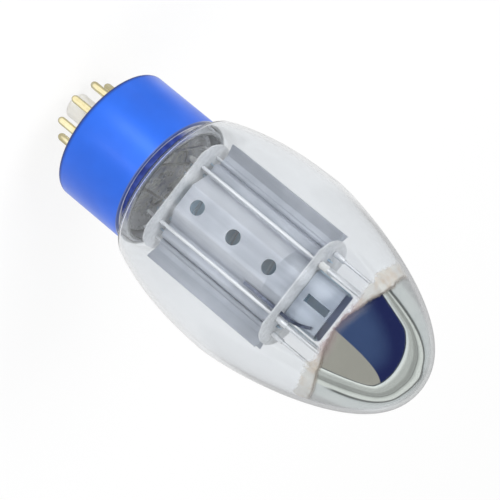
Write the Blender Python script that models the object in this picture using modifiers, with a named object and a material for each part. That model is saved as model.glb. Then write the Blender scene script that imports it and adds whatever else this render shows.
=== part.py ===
# Beam power vacuum tube: an egg-shaped glass bulb on a metal-shelled octal base.
# Metres, +Z towards the dome. The origin is the centre of the base's seating plane,
# with the pins and the key spigot below it and the flat side of the electrodes facing -Y.
import math

import bmesh
import bpy
from mathutils import Matrix, Vector

# Clearances
SEAT_GAP = 0.0003
ROD_CLEARANCE = 0.0002

# Metal shell of the base
SHELL_RADIUS = 0.01885
SHELL_HEIGHT = 0.0217
SHELL_WALL = 0.0008
SHELL_EDGE_RADIUS = 0.0011
SHELL_LIP = 0.0032
SHELL_RIM_ROUND = 0.00025

# Insulating wafer with its key spigot
WAFER_HEIGHT = 0.0052
SPIGOT_RADIUS = 0.00355
SPIGOT_LENGTH = 0.0135
SPIGOT_BORE = 0.0023
SPIGOT_FLOOR = 0.0012
SPIGOT_ROUND = 0.0009
KEY_WIDTH = 0.0021
KEY_HEIGHT = 0.0009
KEY_ANGLE = 101.25

# Contact pins
PIN_COUNT = 8
PIN_CIRCLE_RADIUS = 0.008725
PIN_RADIUS = 0.00105
PIN_LENGTH = 0.0109
PIN_HEAD_RADIUS = 0.0016
PIN_HEAD_HEIGHT = 0.0006
PIN_BORE = 0.0007
PIN_BORE_FLOOR = 0.0022

# Bulb
BULB_RADIUS = 0.0271
BULB_CENTRE_Z = 0.0581
DOME_HEIGHT = 0.0505
DOME_POWER = 1.405
DOME_ROUNDNESS = 2.335
BOWL_POWER = 2.2
SHOULDER_OVERHANG = 0.0026
BULB_WALL = 0.001
BULB_SHOULDER_ROUND = 0.0025
SHOULDER_RISE = 0.0027
NECK_FOOT_Z = 0.0135
NECK_ROUND = 0.0012
CEMENT_THICKNESS = 0.00055
CEMENT_FOOT_Z = 0.0145
CEMENT_TOP_MARGIN = 0.0003
NECK_RADIUS = SHELL_RADIUS - SHELL_WALL - CEMENT_THICKNESS - 2 * SEAT_GAP
SHOULDER_Z = SHELL_HEIGHT + SHOULDER_RISE

# Stem that closes the neck
STEM_TOP_Z = 0.0185
STEM_THICKNESS = 0.0032
STEM_RIM_HEIGHT = 0.0022
STEM_RIM_WIDTH = 0.0022
EXHAUST_RADIUS = 0.0018
EXHAUST_BORE = 0.0009
EXHAUST_TIP_Z = -0.0095
EXHAUST_TIP_WALL = 0.0016

# Mica spacers
MICA_RADIUS = 0.0161
MICA_HALF_DEPTH = 0.0081
MICA_FLAT_X = 0.0115
MICA_CORNER_Y = 0.0059
MICA_END_RADIUS = 0.0106
MICA_THICKNESS = 0.0004
LOWER_MICA_Z = 0.0278
UPPER_MICA_Z = 0.0692

# Anode, two pressed half shells crimped round their rods
SHEET = 0.0003
ANODE_FOOT_Z = 0.03
ANODE_FIN_X = 0.0178
ANODE_FIN_Y = 0.0019
ANODE_SEAM_X = 0.0148
ANODE_STEP_X = 0.0117
ANODE_PANEL_X = 0.0113
ANODE_PANEL_Y = 0.0026
ANODE_BOX_FOOT_X = 0.0075
ANODE_BOX_FACE_X = 0.0038
ANODE_BOX_FACE_Y = 0.0058
ANODE_BEND_RADIUS = 0.0007
ANODE_HOLE_RADIUS = 0.00205
ANODE_HOLE_COUNT = 3
ANODE_HOLE_PITCH = 0.01265
ANODE_HOLE_LOWEST_Z = 0.0349

# Rods that tie the cage together
ANODE_ROD_X = 0.0126
ANODE_ROD_RADIUS = 0.0004
ANODE_ROD_TOP_Z = 0.085
CAGE_ROD_X = 0.0086
CAGE_ROD_Y = 0.0036
CAGE_ROD_RADIUS = 0.00052
CAGE_ROD_TOP_Z = 0.0846
ROD_STUB = 0.0045
SLEEVE_CLEARANCE = 0.0001
SLEEVE_WALL = 0.0002
SLEEVE_HEIGHT = 0.0033
BEAD_WALL = 0.0003
BEAD_HEIGHT = 0.0026
LOWER_BEAD_HEIGHT = 0.0036

# Cathode and heater
CATHODE_HALF_WIDTH = 0.0032
CATHODE_HALF_DEPTH = 0.00095
CATHODE_WALL = 0.0002
CATHODE_STUB = 0.0018
HEATER_RADIUS = 0.00022
HEATER_LEGS = 6
HEATER_SPREAD = 0.0022
HEATER_TAIL = 0.0032

# Grids
GRID_ROD_RADIUS = 0.00045
GRID_WIRE_RADIUS = 0.00013
CONTROL_ROD_X = 0.0044
CONTROL_HALF_DEPTH = 0.00175
CONTROL_TURNS = 11
CONTROL_ROD_STUB = 0.0022
SCREEN_ROD_X = 0.0069
SCREEN_HALF_DEPTH = 0.003
SCREEN_TURNS = 11
GRID_END_MARGIN = 0.003

# Beam-forming plates
BEAM_PLATE_X = 0.0104
BEAM_PLATE_MOUTH_X = 0.0081
BEAM_PLATE_HALF_DEPTH = 0.0017
BEAM_TAB_HALF_WIDTH = 0.0008
BEAM_TAB_STUB = 0.0011

# Cooling fins on the screen grid rods, and their ribbon lead
FIN_TOP_Z = 0.0797
FIN_FACE_Y = 0.0023
FIN_BEND_RADIUS = 0.0006
FIN_SLOT_HALF_WIDTH = 0.0011
FIN_SLOT_FOOT_Z = 0.0715
FIN_SLOT_TOP_Z = 0.079
RIBBON_HALF_WIDTH = 0.00045
RIBBON_THICKNESS = 0.0002
RIBBON_X = 0.007
RIBBON_Y = 0.0039
RIBBON_TOP_X = 0.0052
RIBBON_TOP_Z = 0.078
RIBBON_FOOT_Z = 0.0565

# Getters over the rod tops
GETTER_RING_RADIUS = 0.0026
GETTER_RING_SECTION = 0.0006
GETTER_WIRE_RADIUS = 0.0004

# Lead wires from the pins through the stem to the electrodes
LEAD_RADIUS = 0.00035
LEAD_RISE = 0.0012
LEAD_FOOT_Z = -0.006
WELD_GAP = 0.00015

# Facets
ROUND_STEPS = 36
SMALL_STEPS = 12

GLASS = ("clear glass", (0.86, 0.90, 0.93), 0.05, 0.0)
ANODISED = ("blue anodised aluminium", (0.05, 0.18, 0.80), 0.35, 0.8)
CERAMIC = ("white ceramic", (0.86, 0.86, 0.84), 0.4, 0.0)
GOLD = ("gold plating", (0.83, 0.68, 0.36), 0.25, 1.0)
CEMENT = ("base cement", (0.45, 0.38, 0.30), 0.9, 0.0)
MICA = ("mica", (0.78, 0.78, 0.76), 0.3, 0.0)
ANODE_GREY = ("coated anode sheet", (0.38, 0.40, 0.44), 0.45, 0.7)
NICKEL = ("bright nickel", (0.80, 0.80, 0.78), 0.2, 1.0)
DARK_NICKEL = ("dark nickel", (0.22, 0.24, 0.30), 0.35, 0.9)
CATHODE_WHITE = ("oxide coating", (0.85, 0.85, 0.82), 0.9, 0.0)
COPPER = ("copper", (0.75, 0.42, 0.28), 0.3, 1.0)
MOLYBDENUM = ("molybdenum wire", (0.50, 0.50, 0.52), 0.35, 1.0)


def clear_scene():
    for old in list(bpy.data.objects):
        bpy.data.objects.remove(old, do_unlink=True)


def make_collection(name):
    collection = bpy.data.collections.new(name)
    bpy.context.scene.collection.children.link(collection)
    return collection


def make_material(name, finish):
    label, colour, roughness, metallic = finish
    material = bpy.data.materials.new(name + " " + label)
    material.use_nodes = True
    shader = material.node_tree.nodes["Principled BSDF"]
    shader.inputs["Base Color"].default_value = (*colour, 1.0)
    shader.inputs["Roughness"].default_value = roughness
    shader.inputs["Metallic"].default_value = metallic
    material.diffuse_color = (*colour, 1.0)
    return material


def add_part(name, data, finish):
    part = bpy.data.objects.new(name, data)
    PARTS.objects.link(part)
    data.materials.clear()
    data.materials.append(make_material(name, finish))
    return part


def add_cutter(name, mesh):
    cutter = bpy.data.objects.new(name, mesh)
    CUTTERS.objects.link(cutter)
    cutter.hide_render = True
    cutter.display_type = "WIRE"
    return cutter


def mesh_from(name, bm):
    mesh = bpy.data.meshes.new(name)
    bm.to_mesh(mesh)
    bm.free()
    return mesh


def rounded(corners, segments=3):
    """Polyline through (x, y, radius) corners, each bend an arc of its own radius."""
    points = [Vector(corners[0][:2])]
    for before, corner, after in zip(corners, corners[1:], corners[2:]):
        here = Vector(corner[:2])
        back = Vector(before[:2]) - here
        on = Vector(after[:2]) - here
        radius = corner[2]
        if radius <= 0:
            points.append(here)
            continue
        half = back.angle(on) / 2
        reach = min(radius / math.tan(half), 0.49 * back.length, 0.49 * on.length)
        radius = reach * math.tan(half)
        centre = here + (back.normalized() + on.normalized()).normalized() * (radius / math.sin(half))
        start = here + back.normalized() * reach - centre
        end = here + on.normalized() * reach - centre
        sweep = start.angle_signed(end)
        for step in range(segments + 1):
            turn = Matrix.Rotation(-sweep * step / segments, 2)
            points.append(centre + turn @ start)
    points.append(Vector(corners[-1][:2]))
    return points


def turned(name, profile, finish, steps=ROUND_STEPS, closed=False, centre=(0.0, 0.0)):
    """Profile of (radius, height) points, run down its outer side, turned about Z."""
    bm = bmesh.new()
    verts = [bm.verts.new((point[0], 0.0, point[1])) for point in profile]
    for first, second in zip(verts, verts[1:]):
        bm.edges.new((first, second))
    if closed:
        bm.edges.new((verts[-1], verts[0]))
    part = add_part(name, mesh_from(name, bm), finish)
    part.location = (*centre, 0.0)
    screw = part.modifiers.new("Turn", "SCREW")
    screw.steps = steps
    screw.render_steps = steps
    screw.use_merge_vertices = True
    screw.merge_threshold = 0.00001
    screw.use_smooth_shade = True
    return part


def wire(name, points, radius, finish, resolution=2):
    curve = bpy.data.curves.new(name, "CURVE")
    curve.dimensions = "3D"
    spline = curve.splines.new("POLY")
    spline.points.add(len(points) - 1)
    for target, point in zip(spline.points, points):
        target.co = (*point, 1.0)
    curve.bevel_depth = radius
    curve.bevel_resolution = resolution
    curve.render_resolution_u = 0
    curve.use_fill_caps = True
    return add_part(name, curve, finish)


def plate(name, outline, holes, z, thickness, finish):
    """Flat sheet of one outline with holes, lying across Z."""
    curve = bpy.data.curves.new(name, "CURVE")
    curve.dimensions = "2D"
    curve.fill_mode = "BOTH"
    curve.extrude = thickness / 2
    curve.render_resolution_u = 0
    for loop in [outline] + holes:
        spline = curve.splines.new("POLY")
        spline.points.add(len(loop) - 1)
        for target, point in zip(spline.points, loop):
            target.co = (point[0], point[1], 0.0, 1.0)
        spline.use_cyclic_u = True
    part = add_part(name, curve, finish)
    part.location = (0.0, 0.0, z)
    return part


def solid_from_curve(part):
    """Mesh copy of a curve part, its caps welded, in place of the curve."""
    bpy.context.view_layer.update()
    graph = bpy.context.evaluated_depsgraph_get()
    mesh = bpy.data.meshes.new_from_object(part.evaluated_get(graph))
    bm = bmesh.new()
    bm.from_mesh(mesh)
    bmesh.ops.remove_doubles(bm, verts=bm.verts, dist=0.00001)
    bm.to_mesh(mesh)
    bm.free()
    name = part.name
    place = part.matrix_world.copy()
    material = part.data.materials[0]
    bpy.data.objects.remove(part, do_unlink=True)
    mesh.materials.clear()
    mesh.materials.append(material)
    solid = bpy.data.objects.new(name, mesh)
    PARTS.objects.link(solid)
    solid.matrix_world = place
    return solid


def boolean(part, cutter, operation="DIFFERENCE"):
    modifier = part.modifiers.new(cutter.name, "BOOLEAN")
    modifier.operation = operation
    modifier.object = cutter


def circle(centre, radius, steps=12):
    turns = [2 * math.pi * step / steps for step in range(steps)]
    return [(centre[0] + radius * math.cos(a), centre[1] + radius * math.sin(a)) for a in turns]


def box_outline(centre, half_x, half_y):
    signs = ((-1, -1), (1, -1), (1, 1), (-1, 1))
    return [(centre[0] + half_x * sx, centre[1] + half_y * sy) for sx, sy in signs]


def oval(half_width, half_depth, steps=6):
    """Flat-sided oval, its ends half circles."""
    straight = half_width - half_depth
    points = []
    for side, start in ((1, -90), (-1, 90)):
        for step in range(steps + 1):
            a = math.radians(start + 180 * step / steps)
            points.append((side * straight + half_depth * math.cos(a), half_depth * math.sin(a)))
    return points


def cylinders(name, places, radius, z_low, z_high, steps=12):
    """One mesh of upright cylinders, to cut holes with."""
    bm = bmesh.new()
    for x, y in places:
        centre = Matrix.Translation((x, y, (z_low + z_high) / 2))
        bmesh.ops.create_cone(bm, cap_ends=True, segments=steps, radius1=radius, radius2=radius,
                              depth=z_high - z_low, matrix=centre)
    return add_cutter(name, mesh_from(name, bm))


def folded_sheet(name, section, z_low, z_high, finish):
    """Open section of (x, y) points drawn up along Z, with the sheet's thickness."""
    bm = bmesh.new()
    low = [bm.verts.new((point[0], point[1], z_low)) for point in section]
    high = [bm.verts.new((point[0], point[1], z_high)) for point in section]
    for a, b, c, d in zip(low, low[1:], high[1:], high):
        bm.faces.new((a, b, c, d))
    part = add_part(name, mesh_from(name, bm), finish)
    solidify = part.modifiers.new("Sheet", "SOLIDIFY")
    solidify.thickness = SHEET
    solidify.offset = 0.0
    solidify.use_even_offset = True
    return part


def smooth_route(knots, per_span=4):
    """Points along a Catmull-Rom curve through the knots."""
    knots = [Vector(knot) for knot in knots]
    ends = [2 * knots[0] - knots[1]] + knots + [2 * knots[-1] - knots[-2]]
    points = []
    for p0, p1, p2, p3 in zip(ends, ends[1:], ends[2:], ends[3:]):
        for step in range(per_span):
            t = step / per_span
            points.append(0.5 * (2 * p1 + (p2 - p0) * t + (2 * p0 - 5 * p1 + 4 * p2 - p3) * t ** 2
                                 + (3 * p1 - p0 - 3 * p2 + p3) * t ** 3))
    points.append(knots[-1])
    return points


def around(radius, angle):
    a = math.radians(angle)
    return radius * math.cos(a), radius * math.sin(a)


def pin_angle(number):
    """Pins count on from the key, by equal steps."""
    step = 360 / PIN_COUNT
    return KEY_ANGLE + step * (number - 0.5)


def base_shell():
    inner = SHELL_RADIUS - SHELL_WALL
    lip = SHELL_RADIUS - SHELL_LIP
    corner = SHELL_EDGE_RADIUS
    outside = rounded([(inner, SHELL_HEIGHT, 0), (SHELL_RADIUS, SHELL_HEIGHT, SHELL_RIM_ROUND),
                       (SHELL_RADIUS, 0, corner), (lip, 0, 0)], 4)
    inside = rounded([(lip, SHELL_WALL, 0), (inner, SHELL_WALL, corner - SHELL_WALL),
                      (inner, SHELL_HEIGHT - SHELL_WALL, 0)], 3)
    turned("base_shell", outside + inside, ANODISED, closed=True)


def base_insulator():
    seat = SHELL_WALL + SEAT_GAP
    wafer = SHELL_RADIUS - SHELL_WALL - SEAT_GAP
    boss = SHELL_RADIUS - SHELL_LIP - SEAT_GAP
    clear_of_bend = SHELL_EDGE_RADIUS - SHELL_WALL
    floor = SPIGOT_FLOOR - SPIGOT_LENGTH
    profile = rounded([(0, floor, 0), (SPIGOT_BORE, floor, 0), (SPIGOT_BORE, WAFER_HEIGHT, 0),
                       (wafer, WAFER_HEIGHT, 0), (wafer, seat + clear_of_bend, 0),
                       (wafer - clear_of_bend, seat, 0), (boss, seat, 0), (boss, 0, 0),
                       (SPIGOT_RADIUS, 0, 0), (SPIGOT_RADIUS, -SPIGOT_LENGTH, SPIGOT_ROUND),
                       (0, -SPIGOT_LENGTH, 0)], 3)
    part = turned("base_insulator", profile, CERAMIC)
    places = [around(PIN_CIRCLE_RADIUS, pin_angle(n + 1)) for n in range(PIN_COUNT)]
    margin = 2 * SEAT_GAP
    boolean(part, cylinders("pin_holes", places, PIN_RADIUS + ROD_CLEARANCE, -margin,
                            WAFER_HEIGHT + margin, SMALL_STEPS))
    bm = bmesh.new()
    top = SEAT_GAP
    foot = SPIGOT_ROUND - SPIGOT_LENGTH
    inside = (SPIGOT_RADIUS + SPIGOT_BORE) / 2
    length = SPIGOT_RADIUS + KEY_HEIGHT - inside
    bmesh.ops.create_cube(bm, size=1)
    bmesh.ops.scale(bm, vec=(length, KEY_WIDTH, top - foot), verts=bm.verts)
    bmesh.ops.translate(bm, vec=(inside + length / 2, 0, (top + foot) / 2), verts=bm.verts)
    bmesh.ops.rotate(bm, cent=(0, 0, 0), matrix=Matrix.Rotation(math.radians(KEY_ANGLE), 3, "Z"),
                     verts=bm.verts)
    boolean(part, add_cutter("key_ridge", mesh_from("key_ridge", bm)), "UNION")


def pins():
    head_foot = WAFER_HEIGHT + SEAT_GAP
    head_top = head_foot + PIN_HEAD_HEIGHT
    profile = rounded([(0, PIN_BORE_FLOOR - PIN_LENGTH, 0), (PIN_BORE, PIN_BORE_FLOOR - PIN_LENGTH, 0),
                       (PIN_BORE, head_top, 0), (PIN_HEAD_RADIUS, head_top, 0),
                       (PIN_HEAD_RADIUS, head_foot, 0), (PIN_RADIUS, head_foot, 0),
                       (PIN_RADIUS, -PIN_LENGTH, PIN_RADIUS * 0.98), (0, -PIN_LENGTH, 0)], 4)
    for number in range(1, PIN_COUNT + 1):
        place = around(PIN_CIRCLE_RADIUS, pin_angle(number))
        turned(f"pin_{number}", profile, GOLD, SMALL_STEPS, centre=place)


def dome_radius(height):
    """Outer radius of the bulb's upper half at a height above its widest ring."""
    return BULB_RADIUS * (1 - (height / DOME_HEIGHT) ** DOME_POWER) ** (1 / DOME_ROUNDNESS)


def bowl_radius(depth):
    """Outer radius of the bulb's lower half at a depth below its widest ring."""
    drop = BULB_CENTRE_Z - SHOULDER_Z
    foot = (SHELL_RADIUS + SHOULDER_OVERHANG) / BULB_RADIUS
    return BULB_RADIUS * math.sqrt(1 - (1 - foot ** 2) * (depth / drop) ** BOWL_POWER)


def bulb_outline(rows_up=13, rows_down=7):
    """Outside of the bulb as (radius, height) points, from the dome's top to the neck's foot."""
    points = []
    for row in range(rows_up + 1):
        height = DOME_HEIGHT * (1 - (row / rows_up) ** 2)
        points.append((dome_radius(height), BULB_CENTRE_Z + height))
    drop = BULB_CENTRE_Z - SHOULDER_Z
    for row in range(1, rows_down):
        depth = drop * row / rows_down
        points.append((bowl_radius(depth), BULB_CENTRE_Z - depth))
    last = points[-1]
    turn = rounded([(*last, 0), (bowl_radius(drop), SHOULDER_Z, BULB_SHOULDER_ROUND),
                    (NECK_RADIUS, SHOULDER_Z, NECK_ROUND), (NECK_RADIUS, NECK_FOOT_Z, 0)], 3)
    return [Vector(point) for point in points[:-1]] + turn


def inset_outline(points, wall):
    """The same line moved towards the axis by a wall, square to itself."""
    inner = []
    for index, point in enumerate(points):
        before = points[max(index - 1, 0)]
        after = points[min(index + 1, len(points) - 1)]
        along = (after - before).normalized()
        inner.append(point + Vector((along[1], -along[0])) * wall)
    inner[0] = Vector((0.0, points[0][1] - wall))
    inner[-1] = Vector((points[-1][0] - wall, points[-1][1]))
    return inner


def glass_bulb():
    outside = bulb_outline()
    inside = inset_outline(outside, BULB_WALL)
    turned("glass_bulb", outside + inside[::-1], GLASS)


def base_cement():
    inner = NECK_RADIUS + SEAT_GAP
    outer = SHELL_RADIUS - SHELL_WALL - SEAT_GAP
    top = SHELL_HEIGHT - CEMENT_TOP_MARGIN
    turned("base_cement", [(outer, top), (outer, CEMENT_FOOT_Z), (inner, CEMENT_FOOT_Z), (inner, top)],
           CEMENT, closed=True)


def glass_stem():
    edge = NECK_RADIUS - BULB_WALL - SEAT_GAP
    foot = STEM_TOP_Z - STEM_THICKNESS
    rim_top = STEM_TOP_Z + STEM_RIM_HEIGHT
    bore_floor = EXHAUST_TIP_Z + EXHAUST_TIP_WALL
    profile = rounded([(0, bore_floor, 0), (EXHAUST_BORE, bore_floor, 0), (EXHAUST_BORE, STEM_TOP_Z, 0),
                       (edge - STEM_RIM_WIDTH, STEM_TOP_Z, STEM_RIM_HEIGHT / 2),
                       (edge - STEM_RIM_WIDTH / 2, rim_top, 0), (edge, rim_top, 0), (edge, foot, 0),
                       (EXHAUST_RADIUS, foot, SEAT_GAP * 3),
                       (EXHAUST_RADIUS, EXHAUST_TIP_Z, EXHAUST_RADIUS * 0.98), (0, EXHAUST_TIP_Z, 0)], 3)
    part = turned("glass_stem", profile, GLASS)
    places = [around(PIN_CIRCLE_RADIUS, pin_angle(number)) for number in LEADS]
    boolean(part, cylinders("lead_holes", places, LEAD_RADIUS + ROD_CLEARANCE, foot - SEAT_GAP,
                            rim_top + SEAT_GAP, 8))


def mica_outline(steps=8):
    """Disc with a flat front and back, its corners cut off and its ends round."""
    centre = MICA_RADIUS - MICA_END_RADIUS
    swing = math.asin(MICA_CORNER_Y / MICA_END_RADIUS)
    points = []
    for side in (1, -1):
        for step in range(steps + 1):
            a = swing * (2 * step / steps - 1)
            points.append((side * (centre + MICA_END_RADIUS * math.cos(a)),
                           side * MICA_END_RADIUS * math.sin(a)))
        points.append((side * MICA_FLAT_X, side * MICA_HALF_DEPTH))
        points.append((-side * MICA_FLAT_X, side * MICA_HALF_DEPTH))
    return points


def mica_holes():
    """Holes for everything that both micas locate."""
    holes = [oval(CATHODE_HALF_WIDTH + ROD_CLEARANCE, CATHODE_HALF_DEPTH + ROD_CLEARANCE, 4)]
    for side in (-1, 1):
        holes.append(circle((side * CONTROL_ROD_X, 0), GRID_ROD_RADIUS + ROD_CLEARANCE, 8))
        holes.append(circle((side * SCREEN_ROD_X, 0), GRID_ROD_RADIUS + ROD_CLEARANCE, 8))
        holes.append(circle((side * ANODE_ROD_X, 0), ANODE_ROD_RADIUS + ROD_CLEARANCE, 8))
        holes.append(box_outline((side * BEAM_PLATE_X, 0), SHEET / 2 + ROD_CLEARANCE,
                                 BEAM_TAB_HALF_WIDTH + ROD_CLEARANCE))
        for face in (-1, 1):
            holes.append(circle((side * CAGE_ROD_X, face * CAGE_ROD_Y),
                                CAGE_ROD_RADIUS + ROD_CLEARANCE, 10))
    return holes


def micas():
    plate("lower_mica", mica_outline(), mica_holes(), LOWER_MICA_Z, MICA_THICKNESS, MICA)
    ribbon_slot = box_outline((RIBBON_X, -RIBBON_Y), RIBBON_HALF_WIDTH + ROD_CLEARANCE,
                              RIBBON_THICKNESS / 2 + ROD_CLEARANCE)
    plate("upper_mica", mica_outline(), mica_holes() + [ribbon_slot], UPPER_MICA_Z, MICA_THICKNESS, MICA)


def anode_section(face):
    """Section of one half shell, face -1 for the front and 1 for the back."""
    seam_y = SEAT_GAP / 2 + SHEET / 2
    crimp = ANODE_ROD_RADIUS + ROD_CLEARANCE + SHEET / 2
    bend = ANODE_BEND_RADIUS
    arc_half = math.acos(seam_y / crimp)
    outer = rounded([(ANODE_FIN_X, ANODE_FIN_Y, 0), (ANODE_SEAM_X, seam_y, bend),
                     (ANODE_ROD_X + crimp * math.sin(arc_half), seam_y, 0)], 2)[:-1]
    arc = []
    for step in range(5):
        a = arc_half * (1 - 2 * step / 4)
        arc.append(Vector((ANODE_ROD_X + crimp * math.sin(a), crimp * math.cos(a))))
    inner = rounded([(*arc[-1], 0), (ANODE_STEP_X, seam_y, bend), (ANODE_PANEL_X, ANODE_PANEL_Y, bend),
                     (ANODE_BOX_FOOT_X, ANODE_PANEL_Y, bend),
                     (ANODE_BOX_FACE_X, ANODE_BOX_FACE_Y, bend), (0, ANODE_BOX_FACE_Y, 0)], 2)[1:-1]
    right = outer + arc + inner
    left = [Vector((-point[0], point[1])) for point in reversed(right)]
    return [(point[0], face * point[1]) for point in right + left]


def anode():
    top = UPPER_MICA_Z - MICA_THICKNESS / 2 - SEAT_GAP
    for name, face in (("anode_front", -1), ("anode_back", 1)):
        part = folded_sheet(name, anode_section(face), ANODE_FOOT_Z, top, ANODE_GREY)
        bm = bmesh.new()
        for row in range(ANODE_HOLE_COUNT):
            place = Matrix.Translation((0, face * ANODE_BOX_FACE_Y,
                                        ANODE_HOLE_LOWEST_Z + row * ANODE_HOLE_PITCH))
            bmesh.ops.create_cone(bm, cap_ends=True, segments=20, radius1=ANODE_HOLE_RADIUS,
                                  radius2=ANODE_HOLE_RADIUS, depth=4 * SHEET,
                                  matrix=place @ Matrix.Rotation(math.pi / 2, 4, "X"))
        boolean(part, add_cutter(name + "_holes", mesh_from(name + "_holes", bm)))


def rods():
    foot = LOWER_MICA_Z - ROD_STUB
    for side, hand in ((-1, "left"), (1, "right")):
        x = side * ANODE_ROD_X
        wire(f"anode_rod_{hand}", [(x, 0, foot), (x, 0, ANODE_ROD_TOP_Z)], ANODE_ROD_RADIUS, NICKEL)
        for face, depth in ((-1, "front"), (1, "back")):
            x = side * CAGE_ROD_X
            y = face * CAGE_ROD_Y
            wire(f"cage_rod_{depth}_{hand}", [(x, y, foot), (x, y, CAGE_ROD_TOP_Z)],
                 CAGE_ROD_RADIUS, NICKEL)


def ring(name, centre, bore, wall, z_low, height, finish):
    z_high = z_low + height
    outer = bore + wall
    turned(name, [(outer, z_high), (outer, z_low), (bore, z_low), (bore, z_high)], finish, 12,
           closed=True, centre=centre)


def sleeves_and_beads():
    seat = UPPER_MICA_Z + MICA_THICKNESS / 2 + SEAT_GAP
    under = LOWER_MICA_Z - MICA_THICKNESS / 2 - SEAT_GAP
    anode_bore = ANODE_ROD_RADIUS + SLEEVE_CLEARANCE
    cage_bore = CAGE_ROD_RADIUS + SLEEVE_CLEARANCE
    for side, hand in ((-1, "left"), (1, "right")):
        ring(f"anode_sleeve_{hand}", (side * ANODE_ROD_X, 0), anode_bore, SLEEVE_WALL, seat,
             SLEEVE_HEIGHT, NICKEL)
    front_left = (-CAGE_ROD_X, -CAGE_ROD_Y)
    front_right = (CAGE_ROD_X, -CAGE_ROD_Y)
    ring("rod_bead_upper", front_left, cage_bore, BEAD_WALL, seat, BEAD_HEIGHT, CERAMIC)
    ring("rod_bead_lower", front_left, cage_bore, BEAD_WALL, under - LOWER_BEAD_HEIGHT,
         LOWER_BEAD_HEIGHT, CERAMIC)
    ring("rod_sleeve_right", front_right, cage_bore, SLEEVE_WALL, seat, SLEEVE_HEIGHT, NICKEL)


def cathode():
    low = LOWER_MICA_Z - CATHODE_STUB
    high = UPPER_MICA_Z + CATHODE_STUB
    inner = oval(CATHODE_HALF_WIDTH - CATHODE_WALL, CATHODE_HALF_DEPTH - CATHODE_WALL)
    plate("cathode_sleeve", oval(CATHODE_HALF_WIDTH, CATHODE_HALF_DEPTH), [inner], (low + high) / 2,
          high - low, CATHODE_WHITE)
    top = UPPER_MICA_Z
    bottom = LOWER_MICA_Z
    tail = LOWER_MICA_Z - HEATER_TAIL
    pitch = 2 * HEATER_SPREAD / (HEATER_LEGS - 1)
    route = []
    for leg in range(HEATER_LEGS):
        x = pitch * leg - HEATER_SPREAD
        foot = tail if leg in (0, HEATER_LEGS - 1) else bottom
        turn = pitch * 0.3
        up = [(x, 0, foot), (x, 0, top - turn), (x + turn, 0, top)]
        down = [(x - turn, 0, top), (x, 0, top - turn), (x, 0, foot)]
        route += up if leg % 2 == 0 else down
        if leg % 2 == 1 and leg < HEATER_LEGS - 1:
            route[-1] = (x, 0, foot + turn)
            route += [(x + turn, 0, foot), (x + pitch - turn, 0, foot)]
        elif leg % 2 == 0 and leg > 0:
            route[-3] = (x, 0, foot + turn)
    wire("heater", route, HEATER_RADIUS, CATHODE_WHITE, 1)


def grid(name, rod_x, half_depth, turns, rod_top, rod_finish):
    """Two side rods with one winding welded round them."""
    foot = LOWER_MICA_Z - ROD_STUB
    low = LOWER_MICA_Z + GRID_END_MARGIN
    high = UPPER_MICA_Z - GRID_END_MARGIN
    steps = 10
    points = []
    for index in range(turns * steps + 1):
        a = 2 * math.pi * index / steps
        z = low + (high - low) * index / (turns * steps)
        points.append((rod_x * math.cos(a), half_depth * math.sin(a), z))
    winding = solid_from_curve(wire(name, points, GRID_WIRE_RADIUS, rod_finish, 0))
    posts = cylinders(name + "_rods", [(-rod_x, 0), (rod_x, 0)], GRID_ROD_RADIUS, foot, rod_top, 10)
    boolean(winding, posts, "UNION")


def beam_plates():
    """Channel of sheet at each side, its web running on into tabs that the micas hold."""
    low = ANODE_FOOT_Z
    high = UPPER_MICA_Z - MICA_THICKNESS / 2 - SEAT_GAP
    tab_low = LOWER_MICA_Z - BEAM_TAB_STUB
    tab_high = UPPER_MICA_Z + BEAM_TAB_STUB
    for side, hand in ((-1, "left"), (1, "right")):
        outer = side * BEAM_PLATE_X
        mouth = side * BEAM_PLATE_MOUTH_X
        depth = BEAM_PLATE_HALF_DEPTH
        tab = BEAM_TAB_HALF_WIDTH
        section = [(mouth, -depth), (outer, -depth), (outer, -tab), (outer, tab), (outer, depth),
                   (mouth, depth)]
        bm = bmesh.new()
        rows = []
        for z in (tab_low, low, high, tab_high):
            rows.append([bm.verts.new((point[0], point[1], z)) for point in section])
        for index in range(len(section) - 1):
            bm.faces.new((rows[1][index], rows[1][index + 1], rows[2][index + 1], rows[2][index]))
        for lower, upper in ((rows[0], rows[1]), (rows[2], rows[3])):
            bm.faces.new((lower[2], lower[3], upper[3], upper[2]))
        loose = [vert for vert in bm.verts if not vert.link_faces]
        bmesh.ops.delete(bm, geom=loose, context="VERTS")
        bmesh.ops.recalc_face_normals(bm, faces=bm.faces)
        part = add_part(f"beam_plate_{hand}", mesh_from(f"beam_plate_{hand}", bm), NICKEL)
        solidify = part.modifiers.new("Sheet", "SOLIDIFY")
        solidify.thickness = SHEET
        solidify.offset = 0.0


def cooling_fins():
    """Two folded sheets either side of the screen grid's rods, the front one slotted."""
    foot = UPPER_MICA_Z + MICA_THICKNESS / 2 + SEAT_GAP
    edge = GRID_ROD_RADIUS + ROD_CLEARANCE
    for name, face in (("cooling_fin_front", -1), ("cooling_fin_back", 1)):
        section = rounded([(-SCREEN_ROD_X, face * edge, 0),
                           (-SCREEN_ROD_X, face * FIN_FACE_Y, FIN_BEND_RADIUS),
                           (SCREEN_ROD_X, face * FIN_FACE_Y, FIN_BEND_RADIUS),
                           (SCREEN_ROD_X, face * edge, 0)], 2)
        part = folded_sheet(name, section, foot, FIN_TOP_Z, DARK_NICKEL)
        if face > 0:
            continue
        bm = bmesh.new()
        bmesh.ops.create_cube(bm, size=1)
        bmesh.ops.scale(bm, vec=(2 * FIN_SLOT_HALF_WIDTH, 4 * SHEET, FIN_SLOT_TOP_Z - FIN_SLOT_FOOT_Z),
                        verts=bm.verts)
        bmesh.ops.translate(bm, vec=(0, -FIN_FACE_Y, (FIN_SLOT_TOP_Z + FIN_SLOT_FOOT_Z) / 2),
                            verts=bm.verts)
        boolean(part, add_cutter("fin_slot", mesh_from("fin_slot", bm)))


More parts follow.
